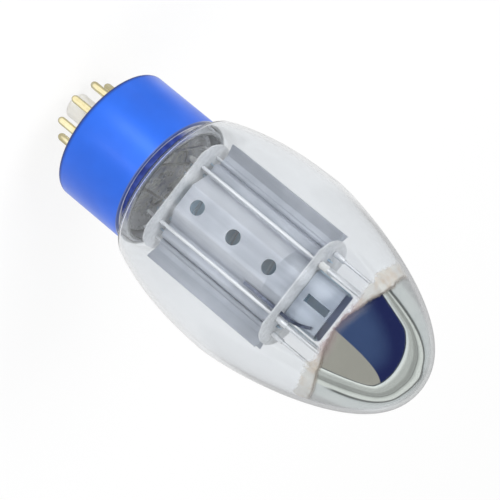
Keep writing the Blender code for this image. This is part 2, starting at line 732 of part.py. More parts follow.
def fin_lead():
    """Ribbon from the front fin's face down through the upper mica, along the anode's step."""
    face_y = FIN_FACE_Y + SHEET / 2 + SEAT_GAP + RIBBON_THICKNESS / 2
    bend_z = (RIBBON_TOP_Z + UPPER_MICA_Z) / 2
    route = smooth_route([(RIBBON_TOP_X, -face_y, RIBBON_TOP_Z),
                          (RIBBON_TOP_X + (RIBBON_X - RIBBON_TOP_X) * 0.6, -face_y, bend_z + 0.002),
                          (RIBBON_X, -RIBBON_Y, bend_z - 0.001),
                          (RIBBON_X, -RIBBON_Y, UPPER_MICA_Z),
                          (RIBBON_X, -RIBBON_Y, RIBBON_FOOT_Z)], 3)
    bm = bmesh.new()
    left = [bm.verts.new((point[0] - RIBBON_HALF_WIDTH, point[1], point[2])) for point in route]
    right = [bm.verts.new((point[0] + RIBBON_HALF_WIDTH, point[1], point[2])) for point in route]
    for a, b, c, d in zip(left, left[1:], right[1:], right):
        bm.faces.new((a, b, c, d))
    part = add_part("fin_lead", mesh_from("fin_lead", bm), DARK_NICKEL)
    solidify = part.modifiers.new("Sheet", "SOLIDIFY")
    solidify.thickness = RIBBON_THICKNESS
    solidify.offset = 0.0


def getters():
    """On each side a wire bridge over the rod tops, with the getter ring lying on it."""
    bridge_z = ANODE_ROD_TOP_Z + WELD_GAP + GETTER_WIRE_RADIUS
    ring_z = bridge_z + GETTER_WIRE_RADIUS + WELD_GAP + GETTER_RING_SECTION
    for side, hand in ((-1, "left"), (1, "right")):
        points = smooth_route([(side * CAGE_ROD_X, -CAGE_ROD_Y - CAGE_ROD_RADIUS, bridge_z),
                               (side * ANODE_ROD_X, 0, bridge_z),
                               (side * CAGE_ROD_X, CAGE_ROD_Y + CAGE_ROD_RADIUS, bridge_z)], 5)
        wire(f"getter_bridge_{hand}", points, GETTER_WIRE_RADIUS, NICKEL, 1)
        bm = bmesh.new()
        profile = [bm.verts.new((GETTER_RING_RADIUS + x, 0.0, z)) for x, z in
                   circle((0, 0), GETTER_RING_SECTION, 6)]
        for a, b in zip(profile, profile[1:] + profile[:1]):
            bm.edges.new((b, a))
        part = add_part(f"getter_ring_{hand}", mesh_from(f"getter_ring_{hand}", bm), NICKEL)
        part.location = (side * (ANODE_ROD_X - GETTER_RING_RADIUS), 0.0, ring_z)
        screw = part.modifiers.new("Turn", "SCREW")
        screw.steps = 16
        screw.render_steps = 16
        screw.use_merge_vertices = True
        screw.merge_threshold = 0.00001
        screw.use_smooth_shade = True


def lead_wires():
    """Each lead rises from its hollow pin, through the stem, to the foot of its electrode."""
    stub = LOWER_MICA_Z - ROD_STUB
    rod_reach = LEAD_RADIUS + WELD_GAP
    targets = {
        2: (-HEATER_SPREAD, 0, LOWER_MICA_Z - HEATER_TAIL - rod_reach),
        3: (-ANODE_ROD_X, 0, stub - rod_reach),
        4: (-SCREEN_ROD_X, 0, stub - rod_reach),
        5: (CONTROL_ROD_X, 0, stub - rod_reach),
        7: (HEATER_SPREAD, 0, LOWER_MICA_Z - HEATER_TAIL - rod_reach),
        8: (0, CATHODE_HALF_DEPTH + rod_reach, LOWER_MICA_Z - CATHODE_STUB),
    }
    for number, electrode in LEADS.items():
        x, y = around(PIN_CIRCLE_RADIUS, pin_angle(number))
        end = Vector(targets[number])
        foot = STEM_TOP_Z - STEM_THICKNESS
        above = STEM_TOP_Z + LEAD_RISE
        rise = Vector((x, y, above)).lerp(end, 0.5)
        rise.z = above + 0.5 * (end.z - above)
        knots = [(x, y, LEAD_FOOT_Z), (x, y, foot - LEAD_RISE), (x, y, STEM_TOP_Z),
                 (x, y, above), rise, end]
        wire(f"lead_{number}_{electrode}", smooth_route(knots, 3), LEAD_RADIUS, COPPER, 1)


def main():
    clear_scene()
    base_shell()
    base_insulator()
    pins()
    glass_bulb()
    base_cement()
    glass_stem()
    micas()
    anode()
    rods()
    sleeves_and_beads()
    cathode()
    grid("control_grid", CONTROL_ROD_X, CONTROL_HALF_DEPTH, CONTROL_TURNS,
         UPPER_MICA_Z + CONTROL_ROD_STUB, COPPER)
    grid("screen_grid", SCREEN_ROD_X, SCREEN_HALF_DEPTH, SCREEN_TURNS, FIN_TOP_Z, MOLYBDENUM)
    beam_plates()
    cooling_fins()
    fin_lead()
    getters()
    lead_wires()


LEADS = {2: "heater", 3: "anode", 4: "screen_grid", 5: "control_grid", 7: "heater", 8: "cathode"}
PARTS = make_collection("vacuum_tube")
CUTTERS = make_collection("cutters")
main()
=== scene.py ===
# Beam power vacuum tube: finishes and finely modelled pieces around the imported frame.
# Metres, +Z towards the dome, the flat side of the electrodes facing -Y.
import math

import bmesh
import bpy
from mathutils import Matrix, Vector


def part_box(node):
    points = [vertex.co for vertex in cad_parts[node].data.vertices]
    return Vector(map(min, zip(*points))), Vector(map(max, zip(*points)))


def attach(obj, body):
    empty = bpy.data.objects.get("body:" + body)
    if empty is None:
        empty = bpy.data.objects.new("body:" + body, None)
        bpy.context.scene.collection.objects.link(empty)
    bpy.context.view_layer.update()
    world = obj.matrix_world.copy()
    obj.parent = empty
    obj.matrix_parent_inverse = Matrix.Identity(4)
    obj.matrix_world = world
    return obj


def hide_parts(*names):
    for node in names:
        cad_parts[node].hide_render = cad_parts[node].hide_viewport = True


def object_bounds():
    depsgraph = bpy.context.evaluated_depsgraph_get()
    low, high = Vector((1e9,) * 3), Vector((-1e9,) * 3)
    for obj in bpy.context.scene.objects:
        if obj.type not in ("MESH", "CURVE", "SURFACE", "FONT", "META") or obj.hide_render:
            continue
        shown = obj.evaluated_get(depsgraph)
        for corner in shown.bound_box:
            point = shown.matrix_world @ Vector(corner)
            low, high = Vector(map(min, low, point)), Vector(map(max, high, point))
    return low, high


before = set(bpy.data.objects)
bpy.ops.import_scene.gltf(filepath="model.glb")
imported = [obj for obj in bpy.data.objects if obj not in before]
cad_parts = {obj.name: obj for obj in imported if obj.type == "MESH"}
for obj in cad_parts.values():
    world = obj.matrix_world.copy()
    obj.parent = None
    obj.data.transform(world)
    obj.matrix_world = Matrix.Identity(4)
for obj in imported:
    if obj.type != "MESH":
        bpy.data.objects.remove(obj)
CAD_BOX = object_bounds()
TAU = 2 * math.pi
WHITE = (1.0, 1.0, 1.0, 1.0)

# Camera: where the photograph was taken from, with angles in degrees, lens and sensor in millimetres
VIEW_TARGET = Vector((0.0, 0.0, 0.0510))
VIEW_DISTANCE = 1.0
VIEW_AZIMUTH = -4.5
VIEW_ELEVATION = 24.0
VIEW_ROLL = 129.7
VIEW_LENS = 287.5
VIEW_SENSOR = 36.0
VIEW_SHIFT = (-0.003, 0.0008)
VIEW_NEAREST = 0.01

# Bulb: a power-law dome over a power-law bowl, as in the solids
DOME_POWER = 1.405
DOME_ROUNDNESS = 2.335
BOWL_POWER = 2.2
BULB_CENTRE_Z = 0.0581
BULB_WALL = 0.001
SHOULDER_OVERHANG = 0.0026
SHOULDER_ROUND = 0.0025
SHOULDER_RISE = 0.0027
NECK_ROUND = 0.0012
CEMENT_AND_WALL = 0.00195
DOME_ROWS = 90
BOWL_ROWS = 40
ROW_SPACING = 0.0001

# Glass, dulled on the neck below the shoulder, where it was fused and cemented
GLASS_IOR = 1.47
NECK_FADE_MARGIN = 0.0002
NECK_FADE_DEPTH = 0.0008

# Silvered film on the inside of the dome
FILM_GAP = 0.00004
FILM_THICKNESS = 0.00004
FILM_FOOT_Z = 0.0840

# Edges of the film: levels count steps above FILM_LEVEL_Z, and a side is x over the reach from the axis
FILM_LEVEL_Z = 0.0880
FILM_LEVEL_STEP = 0.004
SILVER_EDGE_MIDDLE = 0.4
SILVER_EDGE_CREST = 0.78
SILVER_EDGE_DROP = 0.55
SILVER_EDGE_LEAN = 0.03
SILVER_CREST_SIDE = 0.7
SILVER_DROP_SIDES = (0.85, 1.03)
FRINGE_FOOT_MIDDLE = 0.22
FRINGE_FOOT_LEAN = -0.15
LEAST_REACH = 0.001

# Smear of pale cement on the outside of the neck, with a painted reflection of the shell's blue in front
SMEAR_GAP = 0.00004
SMEAR_THICKNESS = 0.00004
SMEAR_PALE_Y = -0.009
SMEAR_REFLECTION_Y = -0.013

# Base
SHELL_WALL = 0.0008
SHELL_EDGE_RADIUS = 0.0011
SHELL_LIP = 0.0032
SHELL_RIM_ROUND = 0.00025
RIM_SHADOW_Y = -0.012
PIN_COUNT = 8
PIN_RADIUS = 0.00105
PIN_TIP_STRETCH = 1.3
PIN_TIP_STEPS = 8
PIN_HEAD_HEIGHT = 0.0006
PIN_BORE = 0.0007
PIN_BORE_FLOOR = 0.0022

# Rods, and beads on the front left rod
ROD_END_ROUND = 0.5
BEAD_BORE = 0.0004
BEAD_ROUND = 0.0003
BEAD_WAIST = 0.55
BEAD_TIP = 0.62

# Back fin: how far below its top edge the painted shade is full, and from where on below it none is painted
FIN_SHADE_FULL_DEPTH = 0.0018
FIN_SHADE_START_DEPTH = 0.0028

# Marks of rolling and drawing: long along Z, or round the axis
MARKS_ALONG = (1.0, 1.0, 0.04)
MARKS_AROUND = (0.02, 0.02, 1.0)
DENT_DEPTH = 0.0001

# Facets and mesh tolerances
ROUND = 160
SMALL_ROUND = 32
SHARP_ANGLE = math.radians(35.0)
MERGE_DISTANCE = 0.000001

# Floor, and the brightness at which polished pieces mirror it
FLOOR_SIZE = 6.0
FLOOR_GAP = 0.0002
FLOOR_COLOUR = (0.9, 0.9, 0.9, 1.0)
FLOOR_WHITE_SHARE = 0.8
FLOOR_SHINE = 0.92
FLOOR_SIDE_SHADE = 0.4
FLOOR_BACK_SHADE = 0.3

# Where the floor's shine changes: metres of reach from the axis and of y, turn as a share of a half turn
FLOOR_NEAR_Y = (-0.013, -0.007)
FLOOR_NEAR_SHINE = (0.22, -0.38)
FLOOR_NEAR_REACH = (0.036, 0.022)
FLOOR_STRIP_REACH = (0.04, 0.08)
FLOOR_SIDE_TURN = (-0.62, -0.42)
FLOOR_SIDE_REACH = (0.032, 0.085)
FLOOR_BACK_REACH = (0.19, 0.3)
FLOOR_BACK_Y = (0.0, 0.05)

# World: plain light, the white behind the tube, and the tent that polished pieces mirror
WORLD_LIGHT = 0.75
WORLD_WHITE = 1.0
TENT_LIGHT = 1.5

# Lines of the tent, as the y of a direction at its x
SEAM_ROUNDNESS = 2.5
SEAM_FLATNESS = 0.6
SEAM_HEIGHT = 0.8
SEAM_PEAK = 0.09
SEAM_PEAK_REACH = 0.3
SEAM_SOFTNESS = 0.008
OPENING_DEPTH = 0.13
OPENING_BOW = 0.25
OPENING_LEAN = -0.08
OPENING_DROP_LEFT = 0.26
OPENING_DROP_LEFT_X = (-0.82, -1.0)
OPENING_DROP_RIGHT = 0.42
OPENING_DROP_RIGHT_X = (0.65, 1.0)
PANEL_START = 0.56
PANEL_SLOPE = 0.5

# Lining of the tent: its levels across it, from the opening at 0 to the seam at 1
LEAST_LINING = 0.1
LINING_FALL = (0.0, 0.2)
LINING_FALL_LEVELS = (0.84, 0.43)
LINING_RISE = (0.72, 0.86)
LINING_RISE_LEVEL = 0.19

# Glow of the cloth along the opening: its width in y, and its shares left and right of a fade in x
GLOW_OPENING = (-0.01, 0.05)
GLOW_X = (0.45, 0.65)
GLOW_SHARES = (0.8, 0.1)

# Soft edges in the tent, as distances in y from seam or opening, or as a direction's x, y or z
CREASE_SEAM = (0.042, 0.01)
CREASE_X = (0.97, 0.94)
TOP_CLOTH_Y = (0.86, 0.97)
GREENER_Y = (-0.3, -0.75)
PANEL_EDGE = (0.0, 0.03)
DARK_RIM = (-0.06, -0.02)
OPENING_EDGE = (-0.012, 0.004)
FRONT_Z = (0.27, 0.2)
FRONT_Y = (-0.5, -0.75)
HORIZON_Z = (-0.02, 0.04)

# Soft bands: from, to, softness and strength; on the lining across it, in front by x, on the floor by turn
LINING_FOLDS = ((0.44, 0.66, 0.05, 0.13), (0.67, 0.71, 0.02, 0.25))
FRONT_STRIPS = ((-0.5, -0.22, 0.08, 1.3), (0.14, 0.3, 0.06, 0.4), (-0.6, 0.4, 0.08, 0.5))
FLOOR_STRIPS = ((-0.2, 0.12, 0.05, 0.6), (-0.165, -0.097, 0.04, 1.8), (0.058, 0.093, 0.025, 1.4))


def tone(red, green, blue):
    """Linear colour from the 0 to 255 values that a screen shows."""
    shades = []
    for value in (red, green, blue):
        share = value / 255
        shades.append(share / 12.92 if share <= 0.04045 else ((share + 0.055) / 1.055) ** 2.4)
    return (*shades, 1.0)


# Shader helpers

def add(tree, kind, values=None, **settings):
    """A shader node; an input value that is a socket gets linked."""
    node = tree.nodes.new("ShaderNode" + kind)
    for key, value in settings.items():
        setattr(node, key, value)
    for key, value in (values or {}).items():
        if isinstance(value, bpy.types.NodeSocket):
            tree.links.new(value, node.inputs[key])
        else:
            node.inputs[key].default_value = value
    return node


def calc(tree, operation, first, second=0.0, third=0.0, clamp=False):
    return add(tree, "Math", {0: first, 1: second, 2: third}, operation=operation, use_clamp=clamp).outputs[0]


def plus(tree, first, second):
    return calc(tree, "ADD", first, second)


def minus(tree, first, second):
    return calc(tree, "SUBTRACT", first, second)


def times(tree, first, second):
    return calc(tree, "MULTIPLY", first, second)


def ramp(tree, value, low, high, start=0.0, end=1.0):
    """Smooth step of a value from start to end between low and high."""
    node = add(tree, "MapRange", {"Value": value, "From Min": low, "From Max": high, "To Min": start,
                                  "To Max": end}, interpolation_type="SMOOTHSTEP")
    return node.outputs[0]


def between(tree, value, low, high, soft):
    """1 inside a band, fading to 0 over a soft edge at each side."""
    return times(tree, ramp(tree, value, low - soft, low + soft), ramp(tree, value, high + soft, high - soft))


def bands(tree, value, strips):
    """Sum of soft bands, each with its two ends, its softness and its strength."""
    total = 0.0
    for low, high, soft, strength in strips:
        total = plus(tree, total, times(tree, between(tree, value, low, high, soft), strength))
    return total


def axes(tree, vector):
    """The X, Y and Z of a vector."""
    return add(tree, "SeparateXYZ", {0: vector}).outputs


def flat_reach(tree, spot):
    """Distance of a spot from the tube's axis."""
    square = plus(tree, times(tree, spot["X"], spot["X"]), times(tree, spot["Y"], spot["Y"]))
    return calc(tree, "POWER", square, 0.5)


def blend(tree, factor, first, second):
    """Colour mix, the first at 0 and the second at 1."""
    return add(tree, "Mix", {0: factor, 6: first, 7: second}, data_type="RGBA").outputs[2]


def tinted(tree, level, green, blue):
    """Colour from a level of red, with green and blue as shares of it."""
    return add(tree, "CombineColor", {0: level, 1: times(tree, level, green),
                                      2: times(tree, level, blue)}).outputs[0]


def noise(tree, vector, scale, detail, roughness):
    return add(tree, "TexNoise", {"Vector": vector, "Scale": scale, "Detail": detail,
                                  "Roughness": roughness}).outputs["Fac"]


def dent(tree, strength, height):
    """Normal of a finely dented surface."""
    return add(tree, "Bump", {"Strength": strength, "Distance": DENT_DEPTH, "Height": height}).outputs[0]


def new_group(name, inputs, outputs):
    """Shader node group with named sockets, each input with its usual value."""
    tree = bpy.data.node_groups.new(name, "ShaderNodeTree")
    for label, kind, value in inputs:
        socket = tree.interface.new_socket(name=label, in_out="INPUT", socket_type="NodeSocket" + kind)
        socket.default_value = value
    for label, kind in outputs:
        tree.interface.new_socket(name=label, in_out="OUTPUT", socket_type="NodeSocket" + kind)
    return tree, tree.nodes.new("NodeGroupInput"), tree.nodes.new("NodeGroupOutput")


def rolled_grain():
    """Marks that rolling, drawing and handling leave on sheet and wire."""
    tree, given, out = new_group(
        "rolled_grain",
        [("Vector", "Vector", (0, 0, 0)), ("Line Scale", "Float", 900.0), ("Patch Scale", "Float", 120.0),
         ("Across", "Vector", MARKS_ALONG)],
        [("Lines", "Float"), ("Patches", "Float"), ("Height", "Float")])
    stretched = add(tree, "VectorMath", {0: given.outputs["Vector"], 1: given.outputs["Across"]},
                    operation="MULTIPLY").outputs[0]
    lines = noise(tree, stretched, given.outputs["Line Scale"], 3.0, 0.6)
    patches = noise(tree, given.outputs["Vector"], given.outputs["Patch Scale"], 3.0, 0.55)
    height = plus(tree, times(tree, lines, 0.7), times(tree, patches, 0.3))
    tree.links.new(ramp(tree, lines, 0.3, 0.7), out.inputs["Lines"])
    tree.links.new(ramp(tree, patches, 0.3, 0.7), out.inputs["Patches"])
    tree.links.new(height, out.inputs["Height"])
    return tree


GRAIN = rolled_grain()


def grained(tree, place, line_scale, patch_scale, across):
    """Outputs of the rolled grain, placed in a material."""
    return add(tree, "Group", {"Vector": place, "Line Scale": line_scale, "Patch Scale": patch_scale,
                               "Across": across}, node_tree=GRAIN).outputs


def start_material(name):
    """Empty material with its tree, its output and the place on the piece."""
    material = bpy.data.materials.new(name)
    material.use_nodes = True
    tree = material.node_tree
    tree.nodes.clear()
    out = add(tree, "OutputMaterial")
    place = add(tree, "TexCoord").outputs["Object"]
    return material, tree, out, place


def metal(name, light, dark, roughness, metallic=1.0, line_scale=900.0, patch_scale=120.0):
    """Sheet or wire: two shades of one metal, broken by fine lines and soft patches."""
    material, tree, out, place = start_material(name)
    grain = grained(tree, place, line_scale, patch_scale, MARKS_ALONG)
    share = calc(tree, "ADD", times(tree, grain["Lines"], 0.55), times(tree, grain["Patches"], 0.45),
                 clamp=True)
    shader = add(tree, "BsdfPrincipled", {
        "Base Color": blend(tree, share, light, dark), "Metallic": metallic,
        "Roughness": ramp(tree, grain["Patches"], 0.0, 1.0, roughness * 0.85, roughness * 1.2),
        "Normal": dent(tree, 0.15, grain["Height"])})
    tree.links.new(shader.outputs[0], out.inputs[0])
    return material


def bulb_glass(name):
    """Clear blown glass, its neck dulled where it was fused to the stem and cemented in."""
    tint = tone(240, 242, 244)
    material, tree, out, place = start_material(name)
    height = axes(tree, place)["Z"]
    shader = add(tree, "BsdfPrincipled", {
        "Base Color": tint, "IOR": GLASS_IOR, "Transmission Weight": 1.0,
        "Roughness": ramp(tree, height, SHOULDER_Z + NECK_FADE_MARGIN, SHOULDER_Z - NECK_FADE_DEPTH,
                          0.0, 0.3)})
    passing = add(tree, "BsdfTransparent", {"Color": tint})
    path = add(tree, "LightPath")
    mixed = add(tree, "MixShader", {0: path.outputs["Is Shadow Ray"], 1: shader.outputs[0],
                                    2: passing.outputs[0]})
    tree.links.new(mixed.outputs[0], out.inputs[0])
    return material


def cement_smear_and_painted_reflection(name):
    """Thin smear of pale cement on the neck, with a painted reflection of the shell's blue in front."""
    material, tree, out, place = start_material(name)
    spot = axes(tree, place)
    cloud = ramp(tree, noise(tree, place, 500.0, 3.0, 0.6), 0.3, 0.7)
    # Painted reflection: in front, the neck is coloured the navy blue of the shell rim that the glass mirrors
    # there.
    front = ramp(tree, spot["Y"], SMEAR_PALE_Y, SMEAR_REFLECTION_Y)
    painted_blue_reflection = blend(tree, cloud, tone(70, 94, 186), tone(42, 60, 150))
    pale = blend(tree, cloud, tone(246, 247, 249), tone(226, 227, 231))
    below = ramp(tree, spot["Z"], SHOULDER_Z - NECK_FADE_MARGIN, SHOULDER_Z - NECK_FADE_DEPTH)
    body = times(tree, below, ramp(tree, front, 0.0, 1.0, 0.6, 0.9))
    shader = add(tree, "BsdfPrincipled", {
        "Base Color": blend(tree, front, pale, painted_blue_reflection), "Roughness": 0.5,
        "Alpha": times(tree, body, ramp(tree, cloud, 0.0, 1.0, 1.0, 0.85))})
    tree.links.new(shader.outputs[0], out.inputs[0])
    return material


def smoky_glass(name):
    """Pressed glass of the stem: grey in clouds, with darker blotches and a paler rim."""
    material, tree, out, place = start_material(name)
    cloud = noise(tree, place, 260.0, 4.0, 0.6)
    blotch = ramp(tree, noise(tree, place, 420.0, 3.0, 0.6), 0.5, 0.66)
    colour = blend(tree, ramp(tree, cloud, 0.35, 0.65), tone(228, 226, 218), tone(182, 185, 197))
    colour = blend(tree, blotch, colour, tone(124, 130, 156))
    rim = ramp(tree, flat_reach(tree, axes(tree, place)), 0.6 * NECK_RADIUS, 0.8 * NECK_RADIUS)
    colour = blend(tree, rim, colour, tone(238, 239, 242))
    shader = add(tree, "BsdfPrincipled", {
        "Base Color": colour, "Roughness": ramp(tree, cloud, 0.3, 0.7, 0.2, 0.4),
        "IOR": GLASS_IOR, "Transmission Weight": 0.5})
    tree.links.new(shader.outputs[0], out.inputs[0])
    return material


def dull(name, light, dark, roughness):
    """Ceramic, cement or oxide coat: matt, faintly mottled, a little grainy."""
    material, tree, out, place = start_material(name)
    cloud = noise(tree, place, 300.0, 4.0, 0.6)
    speck = noise(tree, place, 2700.0, 2.0, 0.6)
    height = plus(tree, cloud, times(tree, speck, 0.5))
    shader = add(tree, "BsdfPrincipled", {
        "Base Color": blend(tree, ramp(tree, cloud, 0.3, 0.7), light, dark),
        "Roughness": ramp(tree, speck, 0.3, 0.7, roughness * 0.9, roughness),
        "Normal": dent(tree, 0.2, height)})
    tree.links.new(shader.outputs[0], out.inputs[0])
    return material


def fin_wall(name):
    """Back fin, seen through the slot of the front one: matt nickel painted paler and bluer than the front
    fin as painted light, with painted shade along its top.
    """
    material, tree, out, place = start_material(name)
    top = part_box("cooling_fin_back")[1][2]
    cloud = noise(tree, place, 300.0, 4.0, 0.6)
    # Painted light: a paler, bluer copy of the fin's nickel, standing in for light in the slot.
    pale = blend(tree, ramp(tree, cloud, 0.3, 0.7), tone(232, 246, 255), tone(222, 238, 255))
    # Painted shade along the top edge.
    painted_top_shade = ramp(tree, axes(tree, place)["Z"], top - FIN_SHADE_START_DEPTH, top - FIN_SHADE_FULL_DEPTH)
    shader = add(tree, "BsdfPrincipled", {
        "Base Color": blend(tree, painted_top_shade, pale, tone(172, 180, 206)),
        "Roughness": ramp(tree, cloud, 0.3, 0.7, 0.5, 0.6)})
    tree.links.new(shader.outputs[0], out.inputs[0])
    return material


def mica_sheet(name):
    """Split mica: pearly, half clear, with cloudy layers."""
    material, tree, out, place = start_material(name)
    cloud = noise(tree, place, 160.0, 4.0, 0.6)
    flake = noise(tree, place, 900.0, 3.0, 0.6)
    shader = add(tree, "BsdfPrincipled", {
        "Base Color": blend(tree, ramp(tree, cloud, 0.3, 0.7), tone(252, 252, 253), tone(238, 239, 240)),
        "Roughness": 0.3, "Alpha": ramp(tree, flake, 0.2, 0.8, 0.66, 0.86),
        "Normal": dent(tree, 0.1, flake)})
    tree.links.new(shader.outputs[0], out.inputs[0])
    return material


def blue_anodised(name):
    """Dyed aluminium under a clear seal: painted shade round the bottom edge, grey on the rim with a painted
    shadow on its front, bare inside.
    """
    material, tree, out, place = start_material(name)
    grain = grained(tree, place, 1800.0, 60.0, MARKS_AROUND)
    spot = axes(tree, place)
    height = spot["Z"]
    colour = blend(tree, grain["Patches"], tone(8, 100, 226), tone(3, 92, 213))
    # Painted shade: the rounded bottom edge, which faces down, is darkened to navy.
    bottom = ramp(tree, height, 1.6 * SHELL_EDGE_RADIUS, 0.2 * SHELL_EDGE_RADIUS)
    colour = blend(tree, bottom, colour, tone(8, 28, 84))
    bare = ramp(tree, flat_reach(tree, spot), SHELL_RADIUS - SHELL_RIM_ROUND,
                SHELL_RADIUS - 2 * SHELL_RIM_ROUND)
    inside = times(tree, bare, ramp(tree, height, 0.0, SHELL_WALL))
    colour = blend(tree, inside, colour, tone(170, 171, 172))
    rim = ramp(tree, height, SHELL_HEIGHT - 2 * SHELL_RIM_ROUND, SHELL_HEIGHT - SHELL_RIM_ROUND)
    # Painted shadow: the rim's front, under the glass shoulder, is navy; elsewhere the rim is grey.
    rim_grey_and_painted_shadow = blend(tree, ramp(tree, spot["Y"], RIM_SHADOW_Y, 0.0), tone(84, 102, 160), tone(176, 177, 180))
    colour = blend(tree, rim, colour, rim_grey_and_painted_shadow)
    shader = add(tree, "BsdfPrincipled", {
        "Base Color": colour, "Metallic": 0.3, "Coat Roughness": 0.2,
        "Coat Weight": ramp(tree, height, 0.5 * SHELL_EDGE_RADIUS, 1.5 * SHELL_EDGE_RADIUS, 0.0, 0.36),
        "Roughness": ramp(tree, grain["Patches"], 0.0, 1.0, 0.36, 0.42),
        "Normal": dent(tree, 0.02, grain["Lines"])})
    tree.links.new(shader.outputs[0], out.inputs[0])
    return material


def silver_edge(tree, side, aside):
    """Level of the mirror's lower edge: a crest each side of the middle, and a drop at the far sides."""
    crest = ramp(tree, aside, 0.0, SILVER_CREST_SIDE, SILVER_EDGE_MIDDLE, SILVER_EDGE_CREST)
    drop = ramp(tree, aside, *SILVER_DROP_SIDES, 0.0, SILVER_EDGE_DROP)
    return calc(tree, "MULTIPLY_ADD", side, SILVER_EDGE_LEAN, minus(tree, crest, drop))


def fringe_foot(tree, side):
    """Level of the cream fringe's lower edge, which hangs lower towards the sides."""
    sag = times(tree, times(tree, side, side), calc(tree, "MULTIPLY_ADD", side, FRINGE_FOOT_LEAN, 1.0))
    return minus(tree, FRINGE_FOOT_MIDDLE, sag)


def silver_film(name):
    """Silvered getter film: a mirror over the dome, thinning out cream and ragged below its edge."""
    material, tree, out, place = start_material(name)
    spot = axes(tree, place)
    side = calc(tree, "DIVIDE", spot["X"], calc(tree, "MAXIMUM", flat_reach(tree, spot), LEAST_REACH))
    aside = calc(tree, "ABSOLUTE", side)
    level = calc(tree, "DIVIDE", minus(tree, spot["Z"], FILM_LEVEL_Z), FILM_LEVEL_STEP)
    wave = minus(tree, noise(tree, place, 260.0, 3.0, 0.5), 0.5)
    tatter = minus(tree, noise(tree, place, 800.0, 3.0, 0.6), 0.5)
    drift = plus(tree, times(tree, wave, 0.3), times(tree, tatter, 0.2))
    above = plus(tree, minus(tree, level, silver_edge(tree, side, aside)), drift)
    over = plus(tree, minus(tree, level, fringe_foot(tree, side)), times(tree, drift, 2.5))
    silver = blend(tree, ramp(tree, noise(tree, place, 90.0, 3.0, 0.5), 0.3, 0.7),
                   tone(240, 241, 237), tone(230, 232, 229))
    cream = blend(tree, ramp(tree, noise(tree, place, 320.0, 3.0, 0.55), 0.42, 0.68),
                  tone(240, 236, 227), tone(230, 212, 190))
    cream = blend(tree, ramp(tree, over, 0.28, 0.05), cream, tone(232, 231, 230))
    colour = blend(tree, ramp(tree, above, -0.16, -0.03), cream, tone(182, 168, 152))
    colour = blend(tree, ramp(tree, above, -0.06, 0.2), colour, silver)
    haze = times(tree, ramp(tree, above, 0.6, 0.0), ramp(tree, aside, 0.6, 0.2))
    colour = blend(tree, times(tree, haze, 0.7), colour, tone(198, 168, 170))
    mirror = times(tree, ramp(tree, above, -0.16, 0.08), calc(tree, "MULTIPLY_ADD", haze, -0.2, 1.0))
    body = ramp(tree, above, -0.35, 0.3, 0.52, 1.0)
    shader = add(tree, "BsdfPrincipled", {
        "Base Color": colour, "Metallic": mirror,
        "Roughness": ramp(tree, above, -0.06, 0.1, 0.45, 0.03),
        "Alpha": times(tree, body, ramp(tree, over, 0.0, 0.34))})
    tree.links.new(shader.outputs[0], out.inputs[0])
    return material


def gold(name):
    """Thin bright plating over brass, paler in streaks along the pins."""
    return metal(name, tone(251, 243, 206), tone(234, 219, 164), 0.12, line_scale=1500.0, patch_scale=500.0)


# Mesh helpers

def put(name, data):
    """New object in the scene."""
    piece = bpy.data.objects.new(name, data)
    bpy.context.scene.collection.objects.link(piece)
    return piece


def finish_piece(name, bm, material, stands_for=()):
    """Smooth piece on the root body, in place of the nodes that it stands for."""
    bmesh.ops.remove_doubles(bm, verts=bm.verts, dist=MERGE_DISTANCE)
    bmesh.ops.recalc_face_normals(bm, faces=bm.faces)
    mesh = bpy.data.meshes.new(name)
    bm.to_mesh(mesh)
    bm.free()
    for face in mesh.polygons:
        face.use_smooth = True
    mesh.set_sharp_from_angle(angle=SHARP_ANGLE)
    mesh.materials.append(material)
    piece = put(name, mesh)
    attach(piece, "root")
    if stands_for:
        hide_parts(*stands_for)


def bend(before, corner, after, radius, steps):
    """Points of the arc that rounds one corner of a line."""
    before, corner, after = Vector(before), Vector(corner), Vector(after)
    back, on = (before - corner).normalized(), (after - corner).normalized()
    half = back.angle(on) / 2
    reach = radius / math.tan(half)
    centre = corner + (back + on).normalized() * (radius / math.sin(half))
    start = corner + back * reach - centre
    sweep = start.angle_signed(corner + on * reach - centre)
    return [centre + Matrix.Rotation(-sweep * step / steps, 2) @ start for step in range(steps + 1)]


def spun(profile, steps=ROUND, closed=False, centre=(0.0, 0.0)):
    """Profile of (radius, height) points turned about Z."""
    bm = bmesh.new()
    verts = [bm.verts.new((point[0], 0.0, point[1])) for point in profile]
    loop = list(zip(verts, verts[1:]))
    if closed:
        loop.append((verts[-1], verts[0]))
    edges = [bm.edges.new(pair) for pair in loop]
    bmesh.ops.spin(bm, geom=verts + edges, cent=(0, 0, 0), axis=(0, 0, 1), dvec=(0, 0, 0), angle=TAU,
                   steps=steps, use_merge=True, use_duplicate=False)
    bmesh.ops.translate(bm, vec=(centre[0], centre[1], 0), verts=bm.verts)
    return bm


def middle(node):
    """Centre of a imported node, seen from above."""
    low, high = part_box(node)
    return (low[0] + high[0]) / 2, (low[1] + high[1]) / 2


# Bulb

BULB_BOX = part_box("glass_bulb")
SHELL_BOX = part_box("base_shell")
BULB_RADIUS = BULB_BOX[1][0]
BULB_TOP_Z = BULB_BOX[1][2]
DOME_HEIGHT = BULB_TOP_Z - BULB_CENTRE_Z
SHELL_RADIUS = SHELL_BOX[1][0]
SHELL_HEIGHT = SHELL_BOX[1][2]
SHOULDER_Z = SHELL_HEIGHT + SHOULDER_RISE
NECK_RADIUS = SHELL_RADIUS - CEMENT_AND_WALL
NECK_FOOT_Z = BULB_BOX[0][2]


def dome_radius(height):
    """Outer radius of the bulb's upper half at a height above its widest ring."""
    return BULB_RADIUS * (1 - (height / DOME_HEIGHT) ** DOME_POWER) ** (1 / DOME_ROUNDNESS)


def bowl_radius(depth):
    """Outer radius of the bulb's lower half at a depth below its widest ring."""
    drop = BULB_CENTRE_Z - SHOULDER_Z
    foot = (SHELL_RADIUS + SHOULDER_OVERHANG) / BULB_RADIUS
    return BULB_RADIUS * math.sqrt(1 - (1 - foot ** 2) * (depth / drop) ** BOWL_POWER)


